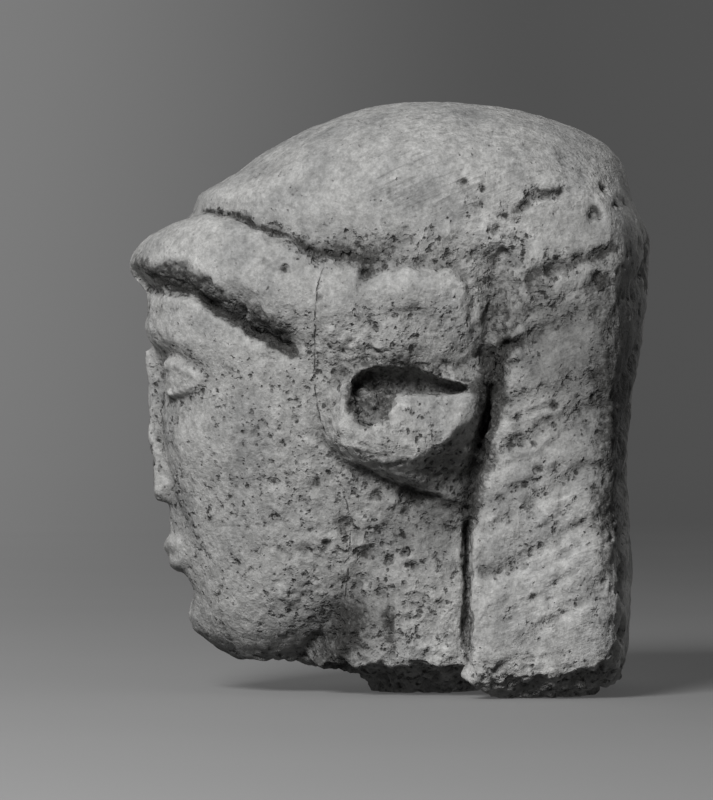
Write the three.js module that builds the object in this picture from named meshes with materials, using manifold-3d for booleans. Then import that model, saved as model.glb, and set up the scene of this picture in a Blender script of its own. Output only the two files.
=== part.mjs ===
// A life-size archaic head broken off a limestone statue, carved from one block.
// Millimetres, +Z up, the face towards -Y and the figure's left side towards +X.
// The origin is on the resting plane, under the middle of the head's depth and width.
import * as THREE from "three";
import { ImprovedNoise } from "three/addons/math/ImprovedNoise.js";
import { mergeVertices } from "three/addons/utils/BufferGeometryUtils.js";
import Module from "manifold-3d";

const wasm = await Module();
wasm.setup();

// Driving dimensions
const HEIGHT = 270; // resting plane to crown
const DEPTH = 240; // front of the brow roll to the back of the hair
const HALF_WIDTH = 84; // middle plane to the side of the hanging hair
const CHIN_Z = 15; // underside of the chin above the resting plane
const CAP_Z = 206; // level of the step where the hair of the crown ends above the ears
const CROWN_Y = 38; // how far behind the middle of the depth the crown lies

// Canon of the face: the head is three and a half face-thirds tall
const HEAD = HEIGHT - CHIN_Z;
const THIRD = HEAD / 3.5;
const BROW_Z = HEIGHT - 1.5 * THIRD;
const NOSE_Z = HEIGHT - 2.5 * THIRD;
const EYE_Z = HEIGHT - HEAD / 2;
const MOUTH_Z = NOSE_Z - THIRD / 3;
const EYE_WIDTH = 28; // a fifth of the face's breadth, and the space between the eyes
const EYE_X = EYE_WIDTH;
const BROW_Y = -DEPTH / 2 + 10;
const FACIAL_SLOPE = Math.tan((10 * Math.PI) / 180); // the profile leans back below the brow

const stoneColour = new THREE.Color(0.66, 0.65, 0.62);
const noise = new ImprovedNoise();

// A smooth curve through [place, value] stations.
function curve(stations) {
  const places = stations.map((s) => s[0]);
  const values = stations.map((s) => s[1]);
  const through = new THREE.CubicInterpolant(places, values, 1);
  return (place) => {
    const inside = THREE.MathUtils.clamp(place, places[0], places.at(-1));
    return through.evaluate(inside)[0];
  };
}

// 1 at d = 0, fading smoothly away over the reach r.
const hump = (d, r) => Math.exp(-((d / r) ** 2));
const fade = (x, a, b) => THREE.MathUtils.smoothstep(x, a, b);
const signedPower = (v, p) => Math.sign(v) * Math.abs(v) ** p;

// A closed solid through rings of points of equal number, with a fan over each end.
function skin(rings) {
  const n = rings[0].length;
  const points = rings.flat();
  const triangles = [];
  rings.slice(1).forEach((_, i) => {
    for (let k = 0; k < n; k++) {
      const a = i * n + k;
      const b = i * n + ((k + 1) % n);
      if ((i + k) % 2) triangles.push(a, b, a + n, b, b + n, a + n);
      else triangles.push(a, b, b + n, a, b + n, a + n);
    }
  });
  [rings[0], rings.at(-1)].forEach((ring, end) => {
    const hub = points.length;
    const middle = new THREE.Vector3();
    ring.forEach((p) => middle.addScaledVector(p, 1 / n));
    points.push(middle);
    const first = end * (rings.length - 1) * n;
    for (let k = 0; k < n; k++) {
      const a = first + k;
      const b = first + ((k + 1) % n);
      if (end) triangles.push(a, b, hub);
      else triangles.push(b, a, hub);
    }
  });
  return solid(points, triangles);
}

// A solid from points and triangles, turned so that its faces point out.
function solid(points, triangles) {
  let volume = 0;
  for (let i = 0; i < triangles.length; i += 3) {
    const [a, b, c] = triangles.slice(i, i + 3).map((corner) => points[corner]);
    volume += a.dot(b.clone().cross(c));
  }
  const vertProperties = new Float32Array(points.flatMap((p) => [p.x, p.y, p.z]));
  const triVerts = new Uint32Array(volume > 0 ? triangles : [...triangles].reverse());
  return new wasm.Manifold(new wasm.Mesh({ numProp: 3, vertProperties, triVerts }));
}

// A rounded lump: a sphere reshaped by its half sizes, a squareness and a rule for each unit point.
function lump({ at, half, turn = [0, 0, 0], square = 2, detail = [16, 12], reshape }) {
  const ball = new THREE.SphereGeometry(1, ...detail);
  ball.deleteAttribute("normal");
  ball.deleteAttribute("uv");
  const merged = mergeVertices(ball, 1e-5);
  const place = merged.getAttribute("position");
  const rotation = new THREE.Euler(...turn.map(THREE.MathUtils.degToRad));
  const points = [];
  for (let i = 0; i < place.count; i++) {
    const p = new THREE.Vector3().fromBufferAttribute(place, i);
    p.set(...p.toArray().map((v) => signedPower(v, 2 / square)));
    reshape?.(p);
    p.multiply(new THREE.Vector3(...half)).applyEuler(rotation).add(new THREE.Vector3(...at));
    points.push(p);
  }
  return solid(points, [...merged.index.array]);
}

// A tapering bar along stations of { at, out, up, reach, rise }, with a rounded section.
function sweep(stations, sides = 8) {
  return skin(
    stations.map(({ at, out, up, reach, rise }) =>
      Array.from({ length: sides }, (_, k) => {
        const angle = (2 * Math.PI * k) / sides;
        return at
          .clone()
          .addScaledVector(out, reach * Math.cos(angle))
          .addScaledVector(up, rise * Math.sin(angle));
      }),
    ),
  );
}

// A quarter of a rounded outline from (0, end) to (half, wide), resampled to equal steps.
function quarter(half, wide, end, power, steps) {
  const fine = 60;
  const outline = [];
  for (let i = 0; i <= fine; i++) {
    const angle = (i / fine) * (Math.PI / 2);
    const x = half * Math.sin(angle) ** (2 / power);
    const y = wide + (end - wide) * Math.cos(angle) ** (2 / power);
    outline.push(new THREE.Vector2(x, y));
  }
  return new THREE.SplineCurve(outline).getSpacedPoints(steps);
}

// The half outline, from the back's middle round +X to the front's middle, made whole by its mirror image.
function mirrored(halfRing) {
  const back = halfRing.slice(1, -1).reverse();
  return [...halfRing, ...back.map((p) => new THREE.Vector3(-p.x, p.y, p.z))];
}

// Face and skull, level by level: front, widest place, half breadth and rear
const SKULL_TOP = 225;
const skullFront = curve([
  [CHIN_Z, -70],
  [CHIN_Z + 9, -81],
  [CHIN_Z + 26, BROW_Y + 120 * FACIAL_SLOPE],
  [BROW_Z, BROW_Y],
  [BROW_Z + 24, BROW_Y - 1],
  [CAP_Z, BROW_Y + 6],
  [SKULL_TOP, BROW_Y + 25],
]);
const skullWide = curve([
  [CHIN_Z, -52],
  [CHIN_Z + 25, -32],
  [MOUTH_Z, -14],
  [NOSE_Z, 0],
  [EYE_Z, 12],
  [CAP_Z, 42],
  [SKULL_TOP, 42],
]);
const skullHalf = curve([
  [CHIN_Z, 24],
  [CHIN_Z + 9, 38],
  [CHIN_Z + 25, 51],
  [MOUTH_Z, 60],
  [NOSE_Z, 65],
  [EYE_Z, 70],
  [EYE_Z + 30, 74],
  [CAP_Z, 76],
  [SKULL_TOP, 60],
]);
const skullRear = curve([
  [CHIN_Z, -28],
  [CHIN_Z + 25, 12],
  [MOUTH_Z, 40],
  [NOSE_Z, 60],
  [CAP_Z, 94],
  [SKULL_TOP, 84],
]);
const SKULL_POWER = 2.3;

// The modelling of the face that stands out from the smooth skull, at x across and z up.
function faceRelief(x, z) {
  const side = Math.abs(x);
  const browLine = BROW_Z + 4 - 0.009 * (side - 24) ** 2;
  const brow = 4.5 * hump(z - browLine, 7) * fade(side, 3, 13);
  const socket = 8 * hump(side - EYE_X + 1, 19) * hump(z - EYE_Z - 2, 12);
  const noseCorner = 3 * hump(side - 13, 7) * hump(z - EYE_Z - 4, 11);
  const cheek = 5 * hump(side - 44, 16) * hump(z - EYE_Z + 29, 15);
  const muzzle = 4.5 * hump(side, 24) * hump(z - MOUTH_Z - 3, 19);
  const chin = 7 * hump(side, 17) * hump(z - CHIN_Z - 16, 12);
  const underLip = 4 * hump(side, 15) * hump(z - MOUTH_Z + 17, 6);
  const foldX = 18 + 0.35 * (NOSE_Z + 8 - z);
  const fold = 2.2 * hump(side - foldX, 5) * hump(z - (NOSE_Z + MOUTH_Z) / 2, 17);
  const whole = brow + cheek + muzzle + chin - socket - noseCorner - underLip - fold;
  return whole * (1 - fade(side, 52, 66));
}

// The face's surface at x across and z up, as a depth y.
function faceY(x, z) {
  const front = skullFront(z);
  const wide = skullWide(z);
  const share = Math.min(Math.abs(x) / skullHalf(z), 1);
  const round = (1 - share ** SKULL_POWER) ** (1 / SKULL_POWER);
  return wide + (front - wide) * round - faceRelief(x, z);
}

// A point on the face, the direction out of it and the direction up it.
function onFace(x, z, out = 0) {
  const step = 4;
  const across = new THREE.Vector3(2 * step, faceY(x + step, z) - faceY(x - step, z), 0);
  const upwards = new THREE.Vector3(0, faceY(x, z + step) - faceY(x, z - step), 2 * step);
  const outwards = new THREE.Vector3().crossVectors(across, upwards).normalize();
  const at = new THREE.Vector3(x, faceY(x, z), z).addScaledVector(outwards, out);
  return { at, out: outwards, up: upwards.normalize() };
}

function skull() {
  const frontSteps = 15;
  const rearSteps = 3;
  const faceTop = BROW_Z + 25;
  const faceRows = 27;
  const heights = [];
  for (let i = 0; i <= faceRows; i++) heights.push(THREE.MathUtils.lerp(CHIN_Z, faceTop, i / faceRows));
  heights.push(CAP_Z - 5, SKULL_TOP);
  const rings = heights.map((z) => {
    const half = skullHalf(z);
    const wide = skullWide(z);
    const rear = quarter(half, wide, skullRear(z), SKULL_POWER, rearSteps);
    const fine = quarter(half, wide, skullFront(z), SKULL_POWER, 200);
    const front = [];
    for (let k = frontSteps - 1; k >= 0; k--) {
      front.push(fine[Math.round(200 * (k / frontSteps) ** 1.25)]);
    }
    const outline = [...rear, ...front];
    return mirrored(outline.map(({ x, y }) => new THREE.Vector3(x, y < wide ? y - faceRelief(x, z) : y, z)));
  });
  return skin(rings);
}

// Eyes: an almond ball between two raised lids
function eye(side) {
  const bed = onFace(side * EYE_X, EYE_Z);
  const yaw = THREE.MathUtils.radToDeg(Math.atan2(bed.out.x, -bed.out.y));
  const ball = lump({
    at: bed.at.toArray(),
    half: [EYE_WIDTH / 2 + 1, 7.5, 9],
    turn: [0, 0, yaw],
    detail: [12, 8],
    reshape: (p) => {
      p.z *= Math.sqrt(Math.max(0, 1 - p.x * p.x));
    },
  });
  const lid = (height, thickness) => {
    const steps = 8;
    const stations = [];
    for (let i = 0; i <= steps; i++) {
      const along = (2 * i) / steps - 1;
      const arch = 1 - along * along;
      const x = side * (EYE_X + (EYE_WIDTH / 2 + 2.5) * along);
      const { at, out, up } = onFace(x, EYE_Z + height * arch, 1 + 2.2 * arch);
      const size = thickness * (0.5 + 0.5 * Math.sqrt(arch));
      stations.push({ at, out, up, reach: size * 1.3, rise: size });
    }
    return sweep(stations, 6);
  };
  return ball.add(lid(9.5, 2.6)).add(lid(-7.5, 2));
}

// Nose: broken away, with the stump of the bridge and of the wings left
function nose() {
  const top = BROW_Z - 4;
  const steps = 10;
  const stations = [];
  for (let i = 0; i <= steps; i++) {
    const down = i / steps;
    const z = THREE.MathUtils.lerp(top, NOSE_Z - 1, down);
    const halfWidth = 8 + 9 * fade(down, 0.3, 0.9) - 4 * fade(down, 0.9, 1);
    const at = new THREE.Vector3(0, faceY(0, z) + 6, z);
    const out = new THREE.Vector3(0, -1, 0);
    const up = new THREE.Vector3(1, 0, 0);
    stations.push({ at, out, up, reach: 11 + 17 * down - 6 * fade(down, 0.9, 1), rise: halfWidth });
  }
  const lost = new THREE.BoxGeometry(60, 60, 120, 6, 1, 12);
  lost.deleteAttribute("normal");
  lost.deleteAttribute("uv");
  const broken = mergeVertices(lost);
  const place = broken.getAttribute("position");
  const tilt = new THREE.Euler(THREE.MathUtils.degToRad(5), 0, 0);
  const points = [];
  for (let i = 0; i < place.count; i++) {
    const p = new THREE.Vector3().fromBufferAttribute(place, i);
    p.y += 1.6 * noise.noise(p.x / 8, 3.7, p.z / 10);
    points.push(p.applyEuler(tilt).add(new THREE.Vector3(0, BROW_Y - 30, NOSE_Z + 25)));
  }
  return sweep(stations, 12).subtract(solid(points, [...broken.index.array]));
}

// Lips: two spindles that meet at the line of the mouth
function lips() {
  const lip = (drop, thick, bow) => {
    const steps = 10;
    const stations = [];
    for (let i = 0; i <= steps; i++) {
      const along = (2 * i) / steps - 1;
      const full = Math.sqrt(Math.max(0, 1 - along * along));
      const z = MOUTH_Z + drop * full - bow * hump(along, 0.22) + 1.5 * along * along;
      const { at, out, up } = onFace(24 * along, z, -1.5);
      stations.push({ at, out, up, reach: 1 + 4.5 * full, rise: 0.8 + thick * full });
    }
    return sweep(stations, 8);
  };
  return lip(3.8, 4.2, 1.2).add(lip(-4.4, 5, 0));
}

// Neck: a thick column broken off below the chin. A lower core of the break carries the weight.
function neck() {
  const middle = 22;
  const edge = 12;
  const ring = (z, inset, ragged) => {
    const half = 62 - inset;
    const rear = quarter(half, middle, 74 - inset, 2.4, 5);
    const front = quarter(half, middle, -42 + inset, 2.4, 10).reverse().slice(1);
    return mirrored(
      [...rear, ...front].map(({ x, y }) => {
        const chip = ragged * noise.noise(x / 16, y / 16, 5.3);
        return new THREE.Vector3(x, y, z + chip);
      }),
    );
  };
  return skin([
    ring(0, 34, 0),
    ring(5, 31, 1),
    ring(edge - 2, 22, 2),
    ring(edge + 2, 0, 5),
    ring(edge + 20, -0.5, 0),
    ring(80, -1.5, 0),
    ring(150, 0, 0),
  ]);
}

// Hair: the cap over the skull and the mass that hangs behind the ears
const STRAND_PITCH = 26.5; // from one strand to the next, straight down
const STRAND_SLOPE = 0.5; // fall of a strand for each step forward from the back
const STRAND_DEPTH = 3.2;
const HALF_GIRTH = 150; // from the back's middle round to the front edge of the hanging hair
const STRANDS = 8; // from the broken end to the back of the crown
const CAP_TILT = 0.1; // the cap's rim runs up towards the brow
const CAP_RISE = HEIGHT + 2.9 - CAP_Z;
const RIM_WIDE_Y = 60; // where the cap's rim is widest and meets the front edge of the hanging hair
const hairRear = curve([
  [0, 105],
  [15, 108],
  [50, 111],
  [90, 108.8],
  [125, 109.5],
  [156, 113],
  [190, 118.5],
  [CAP_Z, DEPTH / 2],
]);
const hairEdge = curve([
  [0, 32],
  [42, 34.7],
  [90, 36.6],
  [118, 41.2],
  [136, 46],
  [162, 52],
  [182, 58],
  [CAP_Z, RIM_WIDE_Y],
]);
const hairHalf = curve([
  [0, HALF_WIDTH - 1],
  [40, HALF_WIDTH + 2],
  [90, HALF_WIDTH],
  [150, HALF_WIDTH - 2],
  [CAP_Z, HALF_WIDTH - 4],
]);
const capFront = curve([
  [0, -97],
  [0.125, -88],
  [0.234, -71.5],
  [0.398, -53],
  [0.585, -28],
  [0.802, 4],
  [1, CROWN_Y],
]);
const capRear = curve([
  [0, DEPTH / 2],
  [0.144, 119],
  [0.276, 111.6],
  [0.434, 108],
  [0.577, 101],
  [0.699, 87],
  [0.873, 60],
  [1, CROWN_Y],
]);
const capHalf = curve([
  [0, HALF_WIDTH - 4],
  [0.3, HALF_WIDTH - 8],
  [0.6, HALF_WIDTH - 30],
  [0.85, 26],
  [1, 0],
]);
const TURN_Y = 98; // where the nearly flat side of the hanging hair turns into its shallow back
const SIDE_TAPER = 2; // how much narrower the hair is at that turn than at its front edge
const RIM_ROW = CAP_Z + 15; // the row that reaches the step above the ears
const LEVEL_ROW = CAP_Z + 33; // from here up the rows no longer slant
const BACK_STEPS = 11;
const SIDE_STEPS = 4; // those of the back steps that lie between the turn and the front edge
const FRONT_STEPS = 6;
const WORN_CORNER = 17; // how far the hair's front corner is worn back above the ear

// From the back's middle to the widest place: evenly round for the cap, and for the hanging hair
// a shallow back, a turn and a nearly flat side.
function roundBack(half, wide, rear, hanging) {
  const edge = new THREE.Vector2(half, wide);
  const turn = new THREE.Vector2(half - SIDE_TAPER, TURN_Y);
  const cornered = quarter(turn.x, turn.y, rear, 1.5, BACK_STEPS - SIDE_STEPS);
  for (let k = 1; k <= SIDE_STEPS; k++) cornered.push(turn.clone().lerp(edge, k / SIDE_STEPS));
  return quarter(half, wide, rear, 2.1, BACK_STEPS).map((p, k) => p.lerp(cornered[k], hanging));
}

// The half outline of the hair at a level: round the back, then across under the ears or round the cap.
function hairOutline(level) {
  if (level < CAP_Z) {
    const half = hairHalf(level);
    const edge = hairEdge(level);
    const back = roundBack(half, edge, hairRear(level), 1);
    const bevel = WORN_CORNER * fade(level, 130, 185);
    for (let k = 1; k <= FRONT_STEPS; k++) {
      back.push(new THREE.Vector2(half * (1 - k / FRONT_STEPS), edge - bevel));
    }
    return back;
  }
  const t = Math.asin(Math.min((level - CAP_Z) / CAP_RISE, 1)) / (Math.PI / 2);
  const wide = THREE.MathUtils.lerp(RIM_WIDE_Y, CROWN_Y, t);
  const back = roundBack(capHalf(t), wide, capRear(t), 1 - fade(t, 0, 0.5));
  const front = quarter(capHalf(t), wide, capFront(t), 2.3, FRONT_STEPS).reverse();
  return [...back, ...front.slice(1)];
}

// A ring of the hair that follows the strands: high at the back's middle and low at the front edge.
// Where a rim is given, the ring's front part runs level there.
function hairRing(row, groove, rim) {
  const slant = STRAND_SLOPE * (1 - fade(row, CAP_Z - 16, LEVEL_ROW));
  const levels = [];
  for (let k = 0; k <= BACK_STEPS + FRONT_STEPS; k++) {
    const round = (HALF_GIRTH * Math.min(k, BACK_STEPS)) / BACK_STEPS;
    const level = row - slant * Math.hypot(round, 6);
    levels.push(rim && k >= BACK_STEPS ? rim : level);
  }
  const half = levels.map((level, k) => {
    const outline = hairOutline(level);
    const { x, y } = outline[k];
    const behind = outline[Math.max(k - 1, 0)];
    const ahead = outline[Math.min(k + 1, outline.length - 1)];
    const inwards = new THREE.Vector2(ahead.y - behind.y, behind.x - ahead.x).normalize();
    const dip = 13 * (1 - fade(y, -45, -12)) * (1 - fade(level, CAP_Z, CAP_Z + 13));
    const z = level < CAP_Z ? level * (1 - (CAP_TILT * y) / CAP_Z) : level - CAP_TILT * y - dip;
    const along = k / BACK_STEPS;
    const onSide = fade(along, 0.6, 0.75);
    const reach = k > BACK_STEPS ? 0 : (0.15 + 0.85 * fade(along, 0, 0.2)) * (1 - 0.35 * onSide);
    const worn = 0.4 + 0.6 * fade(z, 30, 80);
    const cut = groove * reach * worn * (1 - fade(z, 215, 240));
    return new THREE.Vector3(k ? x + inwards.x * cut : 0, y + inwards.y * cut, z);
  });
  return mirrored(half);
}

function hair() {
  const rings = [];
  for (let strand = -1; strand < STRANDS; strand++) {
    rings.push(hairRing(STRAND_PITCH * strand, STRAND_DEPTH));
    rings.push(hairRing(STRAND_PITCH * (strand + 0.2), 0.2 * STRAND_DEPTH));
    rings.push(hairRing(STRAND_PITCH * (strand + 0.5), -0.2 * STRAND_DEPTH));
    rings.push(hairRing(STRAND_PITCH * (strand + 0.8), 0.1 * STRAND_DEPTH));
  }
  rings.push(hairRing(STRAND_PITCH * STRANDS, STRAND_DEPTH));
  rings.push(hairRing(RIM_ROW - 3.6, 0));
  rings.push(hairRing(RIM_ROW, 0, CAP_Z - 0.5));
  rings.push(hairRing(RIM_ROW + 1.8, 0, CAP_Z));
  rings.push(hairRing(RIM_ROW + 7.2, 0));
  rings.push(hairRing(RIM_ROW + 12.6, 0));
  const capRows = 7;
  for (let i = 0; i <= capRows; i++) {
    const t = THREE.MathUtils.lerp(0.34, 0.96, i / capRows);
    rings.push(hairRing(CAP_Z + CAP_RISE * Math.sin((t * Math.PI) / 2), 0));
  }
  return skin(rings).intersect(hangingBreak()).subtract(lostCorner());
}

// The room that the hair fills above its broken lower end, where the edges are chipped.
function hangingBreak() {
  const ring = (z, grow, ragged) => {
    const outline = quarter(HALF_WIDTH + 2 + grow, 0, 108 + grow, 5, 16);
    const half = [...outline, new THREE.Vector2(0, -DEPTH / 2 - grow)];
    return mirrored(
      half.map(({ x, y }) => new THREE.Vector3(x, y, z + ragged * noise.noise(x / 15, y / 15, 1.7))),
    );
  };
  return skin([ring(0, -18, 0), ring(5, -8, 3), ring(12, 1, 4), ring(30, 20, 0), ring(300, 60, 0)]);
}

// The lost front corner at the broken end of the hanging hair.
function lostCorner() {
  return lump({
    at: [0, 27, 1],
    half: [HALF_WIDTH + 20, 19, 12.5],
    turn: [-18, 0, 0],
    square: 2.6,
    detail: [10, 10],
    reshape: (p) => p.multiplyScalar(1 + 0.12 * noise.noise(9 * p.x, 3 * p.y, 4.1)),
  });
}

// Brow roll: the thick band of hair that frames the forehead from ear to ear
const rollLow = curve([
  [-111, 184],
  [-92, 181],
  [-74, 171],
  [-46, 157],
  [-14, 146],
  [8, 153],
]);
const rollHigh = curve([
  [-97, 215],
  [-81, 217.5],
  [-60, 211],
  [-42, 203],
  [-14, 193],
  [8, 184],
]);
const ROLL_SECTION = [
  [0, -0.9],
  [0, 0.1],
  [0.1, 0.5],
  [0.3, 0.93],
  [0.45, 1],
  [0.65, 0.9],
  [0.83, 0.64],
  [0.95, 0.28],
  [1, -0.15],
  [1, -0.9],
]; // share of the height, share of the reach

const CHIPPED = 0.8; // how far round to each ear the lower face of the roll is broken in scallops

function browRoll() {
  const steps = 26;
  const rings = [];
  for (let i = 0; i <= steps; i++) {
    const share = (2 * i) / steps - 1;
    const side = Math.sign(share);
    const turn = Math.abs(share);
    const footAngle = THREE.MathUtils.degToRad(89.4 * turn);
    const headAngle = THREE.MathUtils.degToRad(76 * turn);
    const power = 2 / SKULL_POWER;
    const foot = new THREE.Vector3(
      side * 71 * Math.sin(footAngle) ** power,
      10 - 121 * Math.cos(footAngle) ** power,
    );
    const head = new THREE.Vector3(
      side * 80 * Math.sin(headAngle) ** power,
      50 - 147 * Math.cos(headAngle) ** power,
    );
    foot.z = rollLow(foot.y);
    head.z = rollHigh(head.y);
    const out = new THREE.Vector3(side * Math.sin(footAngle), -Math.cos(footAngle) - 0.05, 0).normalize();
    const reach = THREE.MathUtils.lerp(15, 8.5, turn) * (1 - 0.75 * fade(turn, 0.84, 1));
    const scallop = turn < CHIPPED ? Math.max(0, 0.15 + 1.1 * noise.noise(3.4, 13 * share, 2.2)) : 0;
    rings.push(
      ROLL_SECTION.map(([up, proud]) => {
        const lost = scallop * hump(up - 0.2, 0.15) + 0.45 * fade(turn, 0.6, 0.85) * hump(up - 0.15, 0.3);
        return foot.clone().lerp(head, up).addScaledVector(out, reach * (proud - lost));
      }),
    );
  }
  return skin(rings);
}

// Ears: an upper lobe that bulges near its top, and a lower one whose outer face ends in a
// slanting ridge. A slit that closes towards the back and a hollow part them. Below them is the
// narrow slot where the neck meets the hanging hair.
function ear(side) {
  const upper = lump({
    at: [side * 67, 13.5, 169.5],
    half: [17.5, 29, 26],
    square: 2.8,
    detail: [12, 9],
    reshape: (p) => {
      p.x *= 1 - 0.38 * fade(0.45 - p.z, 0, 1.3);
    },
  });
  const rearEdge = (z) => 38 + 5 * fade(z, 106, 142);
  const lowerRows = [
    { z: 154, front: -20, reach: 72, ridge: 16, rear: 66 },
    { z: 145, front: -26, reach: 76.5, ridge: 24, rear: 71 },
    { z: 136, front: -30.5, reach: 83, ridge: 36.5, rear: 78 },
    { z: 129, front: -32, reach: 87, ridge: 33, rear: 78 },
    { z: 121, front: -30.5, reach: 89.5, ridge: 28, rear: 76 },
    { z: 114, front: -27, reach: 90, ridge: 22, rear: 73 },
    { z: 110.5, front: -23.5, reach: 89.4, ridge: 15, rear: 70 },
    { z: 107, front: -19.5, reach: 88, ridge: 8, rear: 67 },
    { z: 100, front: -9, reach: 78, ridge: 8, rear: 63 },
    { z: 93, front: 6, reach: 69, ridge: 17, rear: 61 },
    { z: 86, front: 25, reach: 64, ridge: 30, rear: 60 },
  ];
  const root = 45;
  const facing = 7;
  const turning = 3;
  const lower = skin(
    lowerRows.map(({ z, front, reach, ridge, rear }) => {
      const power = THREE.MathUtils.lerp(2.1, 1.4, fade(118 - z, 0, 12));
      const ring = [new THREE.Vector3(side * root, front, z)];
      for (let k = 0; k <= facing; k++) {
        const share = k / facing;
        const round = (1 - (1 - share ** 0.7) ** power) ** (1 / power);
        const x = THREE.MathUtils.lerp(0.5 * (root + reach), reach, round);
        ring.push(new THREE.Vector3(side * x, THREE.MathUtils.lerp(front, ridge, share), z));
      }
      for (let k = 1; k <= turning; k++) {
        const share = k / turning;
        const x = THREE.MathUtils.lerp(reach, rear, share);
        ring.push(new THREE.Vector3(side * x, THREE.MathUtils.lerp(ridge, rearEdge(z), share), z));
      }
      ring.push(new THREE.Vector3(side * root, rearEdge(z), z));
      return ring;
    }),
  );
  const slit = lump({
    at: [side * 80, 9, 139],
    half: [22, 28, 4],
    square: 3,
    detail: [12, 6],
    reshape: (p) => {
      if (p.z > 0) p.z *= 2.7 - 2.6 * fade(p.y, -0.1, 1.05);
    },
  });
  const hollow = lump({
    at: [side * 84, -6.5, 136],
    half: [12, 10.5, 11],
    square: 2.3,
    detail: [10, 6],
  });
  const pit = lump({ at: [side * 80, -11.5, 190], half: [9, 3.2, 4.6], detail: [8, 6] });
  const slot = lump({ at: [side * 62, 33.6, 50], half: [6, 1.8, 36], square: 4, detail: [8, 6] });
  return { lobes: upper.add(lower), cut: slit.add(hollow).add(pit).add(slot) };
}

function head() {
  let stone = skull().add(neck()).add(hair()).add(browRoll()).add(nose()).add(lips());
  for (const side of [-1, 1]) {
    const { lobes, cut } = ear(side);
    stone = stone.add(eye(side)).add(lobes).subtract(cut);
  }
  return stone;
}

// The solid as a mesh for drawing.
function toGeometry(shape) {
  const { vertProperties, triVerts } = shape.getMesh();
  const geometry = new THREE.BufferGeometry();
  geometry.setAttribute("position", new THREE.BufferAttribute(vertProperties, 3));
  geometry.setIndex(new THREE.BufferAttribute(triVerts, 1));
  geometry.computeVertexNormals();
  return geometry;
}

const limestone = new THREE.MeshStandardMaterial({
  color: stoneColour,
  roughness: 0.95,
  metalness: 0,
});

const group = new THREE.Group();
const carvedHead = new THREE.Mesh(toGeometry(head()), limestone);
carvedHead.name = "carved_head";
group.add(carvedHead);

export default group;
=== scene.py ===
# A life-size archaic head broken off a limestone statue, standing on a pale studio floor.
# The face looks towards -Y and the figure's left side is at +X, where the camera stands.
# The stone is roughed out from the imported solid, softened, carved and chipped, and then
# given a pitted, dusty limestone surface, with painted shade in its hollows and seams and
# broad washes of painted light and shade.
# Sizes are in millimetres up to the point where a mesh is written, which is in metres.
import math
from types import SimpleNamespace

import bmesh
import bpy
import numpy as np
from bpy.props import FloatProperty, FloatVectorProperty, IntProperty, PointerProperty
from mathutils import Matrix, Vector
from mathutils.kdtree import KDTree


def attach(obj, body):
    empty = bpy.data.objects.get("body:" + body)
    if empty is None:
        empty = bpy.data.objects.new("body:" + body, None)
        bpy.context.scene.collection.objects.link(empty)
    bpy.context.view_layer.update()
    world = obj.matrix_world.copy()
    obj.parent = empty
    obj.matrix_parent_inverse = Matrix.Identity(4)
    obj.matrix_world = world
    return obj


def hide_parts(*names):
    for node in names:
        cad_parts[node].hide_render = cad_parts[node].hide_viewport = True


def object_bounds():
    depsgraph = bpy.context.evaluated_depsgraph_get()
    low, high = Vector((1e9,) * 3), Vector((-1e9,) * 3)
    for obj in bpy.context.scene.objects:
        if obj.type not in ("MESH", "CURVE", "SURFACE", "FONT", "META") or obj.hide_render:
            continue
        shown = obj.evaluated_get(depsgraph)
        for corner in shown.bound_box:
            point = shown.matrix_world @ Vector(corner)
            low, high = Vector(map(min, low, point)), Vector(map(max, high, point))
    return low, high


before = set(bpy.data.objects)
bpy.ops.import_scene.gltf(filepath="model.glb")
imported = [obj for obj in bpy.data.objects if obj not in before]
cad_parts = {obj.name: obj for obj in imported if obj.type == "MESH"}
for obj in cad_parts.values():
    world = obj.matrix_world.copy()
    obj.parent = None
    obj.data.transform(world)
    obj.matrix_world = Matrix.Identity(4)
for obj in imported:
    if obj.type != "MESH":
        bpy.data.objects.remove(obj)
CAD_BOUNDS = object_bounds()
NODE = "carved_head"
MM = 0.001

bl_info = {
    "name": "Carved limestone head",
    "version": (1, 0, 0),
    "blender": (4, 5, 0),
    "location": "3D View > Sidebar > Stone head",
    "description": "Carves and weathers a limestone head and sets it in a small studio",
    "category": "Object",
}

# Canon of the face, as in the solid: the head is three and a half face-thirds tall
HEIGHT = 270
CHIN_Z = 15
THIRD = (HEIGHT - CHIN_Z) / 3.5
NOSE_Z = HEIGHT - 2.5 * THIRD
EYE_Z = (HEIGHT + CHIN_Z) / 2
MOUTH_Z = NOSE_Z - THIRD / 3
EYE_X = 28

# Wear and damage
SEED = 7  # of the random draws of flakes and holes
RUIN = 3  # the ruined places are smoothed this many times as often as the rest
CORNER_WEAR = 8  # and the turn of the hair to the back this many times
SMALL_HOLE_COUNT = 5000
SMALL_HOLE_RADII = (0.8, 1.9)
RUN_OUT = 0.12  # share of a stroke's length over which each end grows shallow
RELIEF = 0.8  # height of the finest relief, which the material alone shows

# Studio, in metres
AIM = Vector((0, -0.01564, 0.1334))  # middle of the picture
LAMP_DISTANCE = 2.2
PAPER_RADIUS = 3.2  # from the middle to where the floor begins to turn up
PAPER_TURN = 1.5  # radius of that turn
PAPER_TOP = 4.5


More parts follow.
